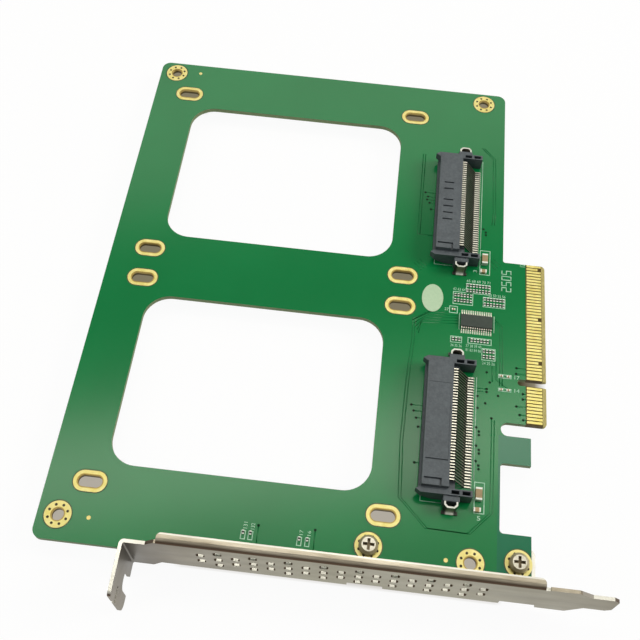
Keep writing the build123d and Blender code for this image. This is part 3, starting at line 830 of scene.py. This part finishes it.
# Painted highlight: upward cut edges below the lip are near white, and the lip top is painted lighter than the
# face.
lit_cut_tone = tones(tree, streak, (0.25, (0.66, 0.65, 0.60)), (0.75, (0.82, 0.81, 0.75)))
lit_lip_tone = tones(tree, streak, (0.32, (0.33, 0.285, 0.215)), (0.68, (0.66, 0.605, 0.495)))
# Painted reflection: the outside of the bend is a dark brown.
bend_reflection_tone = tones(tree, streak, (0.25, (0.070, 0.042, 0.024)), (0.75, (0.13, 0.082, 0.050)))
past_face = maths(tree, "GREATER_THAN", upward, 0.2)
on_bend = maths(tree, "MULTIPLY", past_face, spread(tree, upward, 1.0, 0.0, 0.70, 0.97))
# The face is painted darker towards the tab and towards the far end.
tab_and_end_tone = tones(tree, streak, (0.25, (0.185, 0.158, 0.110)), (0.75, (0.255, 0.220, 0.158)))
near_tab = spread(tree, spot_x, 1.0, 0.0, *tab_reach)
far_end = spread(tree, spot_x, 0.0, 0.6, *far_reach)
face_tone = blend_colours(tree, maths(tree, "MAXIMUM", near_tab, far_end), face_tone, tab_and_end_tone)
# Painted shade in the inner corner where the tab meets the face.
along_face = maths(tree, "SUBTRACT", spot_x, bracket_low[0])
along_tab = maths(tree, "SUBTRACT", spot_y, corner_y)
fold_shade = spread(tree, distance(tree, along_face, along_tab), 0.7, 0.0, *fold_reach)
face_tone = blend_colours(tree, fold_shade, face_tone, (0.040, 0.034, 0.022))
lip_points = [corner.co for corner in nodes["slot_bracket"].data.vertices]
lip_back = max(point.y for point in lip_points if point.z > bracket_high[2] - 0.0001)
# Painted glint along the back edge of the lip.
glint = maths(tree, "GREATER_THAN", spot_y, lip_back - glint_deep)
lit_lip_tone = blend_colours(tree, maths(tree, "MAXIMUM", under_lip, glint), lit_lip_tone, lit_cut_tone)
tone = blend_colours(tree, looks_up, face_tone, lit_lip_tone)
tone = blend_colours(tree, on_bend, tone, bend_reflection_tone)
tree.links.new(tone, shader.inputs["Base Color"])
dull_bend = maths(tree, "MULTIPLY", between(tree, upward, 0.55, 0.97), 0.75)
tree.links.new(maths(tree, "SUBTRACT", 1.0, dull_bend), shader.inputs["Metallic"])
tree.links.new(spread(tree, cloud, 0.32, 0.46), shader.inputs["Roughness"])
relief(tree, shader, streak, 0.00001, 0.15)
coat_node("slot_bracket", satin_nickel)


# Bracket screws
# Two pan head steel screws with a cross recess, painted by facing: a painted highlight on the crown, darker
# brown painted flanks and painted shade in the recess.
# They go down through the board into the ears of the bracket.
screw_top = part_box("bracket_screws")[1][2]
crown_deep = 0.0004
screw_metal, tree, shader = finish("screw_metal", 0.34, 0.45)
grain = noise(tree, place_on_part(tree), 500.0)
upward = facing_up(tree)
spot_z = along_axes(tree, place_on_part(tree))[2]
# Painted by facing: highlight on the crown, darker flanks, painted shade in the recess.
shaded_flank_tone = tones(tree, grain, (0.3, (0.20, 0.140, 0.05)), (0.7, (0.38, 0.28, 0.12)))
half_lit_slant_tone = tones(tree, grain, (0.3, (0.40, 0.33, 0.20)), (0.7, (0.60, 0.52, 0.34)))
lit_crown_tone = tones(tree, grain, (0.3, (0.58, 0.54, 0.44)), (0.7, (0.80, 0.77, 0.67)))
recess_shade_tone = tones(tree, grain, (0.3, (0.10, 0.072, 0.038)), (0.7, (0.20, 0.155, 0.09)))
slanted = maths(tree, "GREATER_THAN", upward, 0.3)
level = maths(tree, "GREATER_THAN", upward, 0.9)
sunk = maths(tree, "LESS_THAN", spot_z, screw_top - crown_deep)
tone = blend_colours(tree, slanted, shaded_flank_tone, half_lit_slant_tone)
tone = blend_colours(tree, level, tone, blend_colours(tree, sunk, lit_crown_tone, recess_shade_tone))
tree.links.new(tone, shader.inputs["Base Color"])
relief(tree, shader, grain, 0.00001, 0.2)
coat_node("bracket_screws", screw_metal)


# Floor, lights and camera
# A pale floor under soft studio light, seen from the photograph's place. Under the slots, holes,
# vents and key notch the floor has painted shade, darker and browner, where the ground shows through.
floor_drop = 0.0001
band_edge = 0.002
vent_middle, vent_half = 78.0, 0.040
key_row = 57.2
tongue_edge = board_high[0]
light_colour = (1.0, 0.97, 0.87)
deselect()
bpy.ops.mesh.primitive_plane_add(size=6.0, location=(0, 0, -floor_drop))
floor = bpy.context.object
floor.name = "floor"
pale, tree, shader = finish("pale_floor", 0.9)
shader.inputs["Base Color"].default_value = (0.95, 0.95, 0.95, 1)
shader.inputs["Specular IOR Level"].default_value = 0.0
path = tree.nodes.new("ShaderNodeLightPath")
glow = tree.nodes.new("ShaderNodeEmission")
mix = tree.nodes.new("ShaderNodeMixShader")
seen = maths(tree, "MAXIMUM", path.outputs["Is Camera Ray"], path.outputs["Is Glossy Ray"])
seen = maths(tree, "MAXIMUM", seen, path.outputs["Is Transmission Ray"])
floor_x, floor_y = along_axes(tree, place_on_part(tree))[:2]


def soft_bands(tree, value, places, before, after, edge=band_edge):
    found = None
    for place in places:
        rise = spread(tree, value, 0.0, 1.0, place - before - edge, place - before)
        fall = spread(tree, value, 1.0, 0.0, place + after, place + after + edge)
        band = maths(tree, "MULTIPLY", rise, fall)
        found = band if found is None else maths(tree, "MAXIMUM", found, band)
    return found


def shaded_places(tree, columns, rows, reach_x, reach_y):
    across = soft_bands(tree, floor_x, [corner_x + x / 1000 for x in columns], *reach_x)
    along = soft_bands(tree, floor_y, [corner_y + y / 1000 for y in rows], *reach_y)
    return maths(tree, "MULTIPLY", across, along)


# Painted shade on the floor under the slots, corner holes, vents and key notch.
under_slots = shaded_places(tree, slot_columns, slot_rows, (0.006, 0.0045), (0.001, 0.007))
under_holes = shaded_places(tree, corner_columns, corner_rows, (0.0035, 0.0025), (0.001, 0.0085))
under_vents = shaded_places(tree, (vent_middle,), (0.0,), (vent_half, vent_half), (-0.0005, 0.009))
beside_key = soft_bands(tree, floor_y, [corner_y + key_row / 1000], -0.0005, 0.0045, 0.001)
from_key = spread(tree, floor_x, 0.0, 1.0, tongue_edge - 0.0095, tongue_edge - 0.0085)
to_mouth = spread(tree, floor_x, 1.0, 0.0, tongue_edge - 0.002, tongue_edge + 0.0013)
under_key = maths(tree, "MULTIPLY", beside_key, maths(tree, "MULTIPLY", from_key, to_mouth))
shade = maths(tree, "MAXIMUM", maths(tree, "MAXIMUM", under_slots, under_holes),
              maths(tree, "MAXIMUM", under_vents, under_key))
in_front = spread(tree, floor_y, 1.0, 0.0, corner_y + 0.025, corner_y + 0.075)
shade_tone = blend_colours(tree, in_front, (0.22, 0.19, 0.125), (0.46, 0.42, 0.36))
along_key = spread(tree, floor_x, 0.0, 1.0, tongue_edge - 0.0065, tongue_edge + 0.001)
key_shade_tone = blend_colours(tree, along_key, (0.040, 0.028, 0.008), (0.38, 0.34, 0.24))
shade_tone = blend_colours(tree, under_key, shade_tone, key_shade_tone)
tree.links.new(blend_colours(tree, shade, (1.0, 1.0, 1.0), shade_tone), glow.inputs["Color"])
tree.links.new(maths(tree, "MULTIPLY", seen, 0.95), mix.inputs["Fac"])
tree.links.new(shader.outputs["BSDF"], mix.inputs[1])
tree.links.new(glow.outputs["Emission"], mix.inputs[2])
tree.links.new(mix.outputs["Shader"], tree.nodes["Material Output"].inputs["Surface"])
floor.data.materials.append(pale)

world = bpy.data.worlds.new("studio")
bpy.context.scene.world = world
world.use_nodes = True
sky = world.node_tree.nodes["Background"]
sky.inputs["Color"].default_value = (1, 1, 1, 1)
sky.inputs["Strength"].default_value = 0.15


def softbox(name, place, size, power, aim=None, turn=0.0):
    lamp = bpy.data.lights.new(name, "AREA")
    lamp.shape = "RECTANGLE"
    lamp.size, lamp.size_y = size
    lamp.energy = power
    lamp.color = light_colour
    holder = bpy.data.objects.new(name, lamp)
    bpy.context.collection.objects.link(holder)
    holder.location = place
    holder.rotation_euler = (0, 0, turn)
    if aim:
        holder.rotation_euler = (Vector(aim) - Vector(place)).to_track_quat("-Z", "Y").to_euler()


softbox("strip_box", (-0.05, 0.277, 0.9), (0.85, 0.12), 1.9, turn=0.2)
softbox("top_box", (-0.05, 0.08, 0.9), (0.9, 0.26), 0.55)
softbox("back_box", (-0.1, 0.88, 0.9), (1.0, 0.45), 3.0, turn=0.22)
softbox("left_box", (-0.85, -0.35, 0.7), (0.5, 0.5), 2.6, aim=(0, 0, 0))
softbox("right_box", (0.95, 0.15, 0.75), (0.5, 0.5), 7.5, aim=(0, 0, 0))

eye = bpy.data.cameras.new("camera")
eye.sensor_width = 36.0
eye.lens = 54.14
eye.shift_x = -0.0290
eye.shift_y = -0.1698
camera = bpy.data.objects.new("camera", eye)
bpy.context.collection.objects.link(camera)
camera.location = (0.004004, -0.134313, 0.255328)
camera.rotation_euler = (0.594639, -0.032494, 0.107430)
bpy.context.scene.camera = camera
bpy.context.scene.view_settings.view_transform = "Standard"
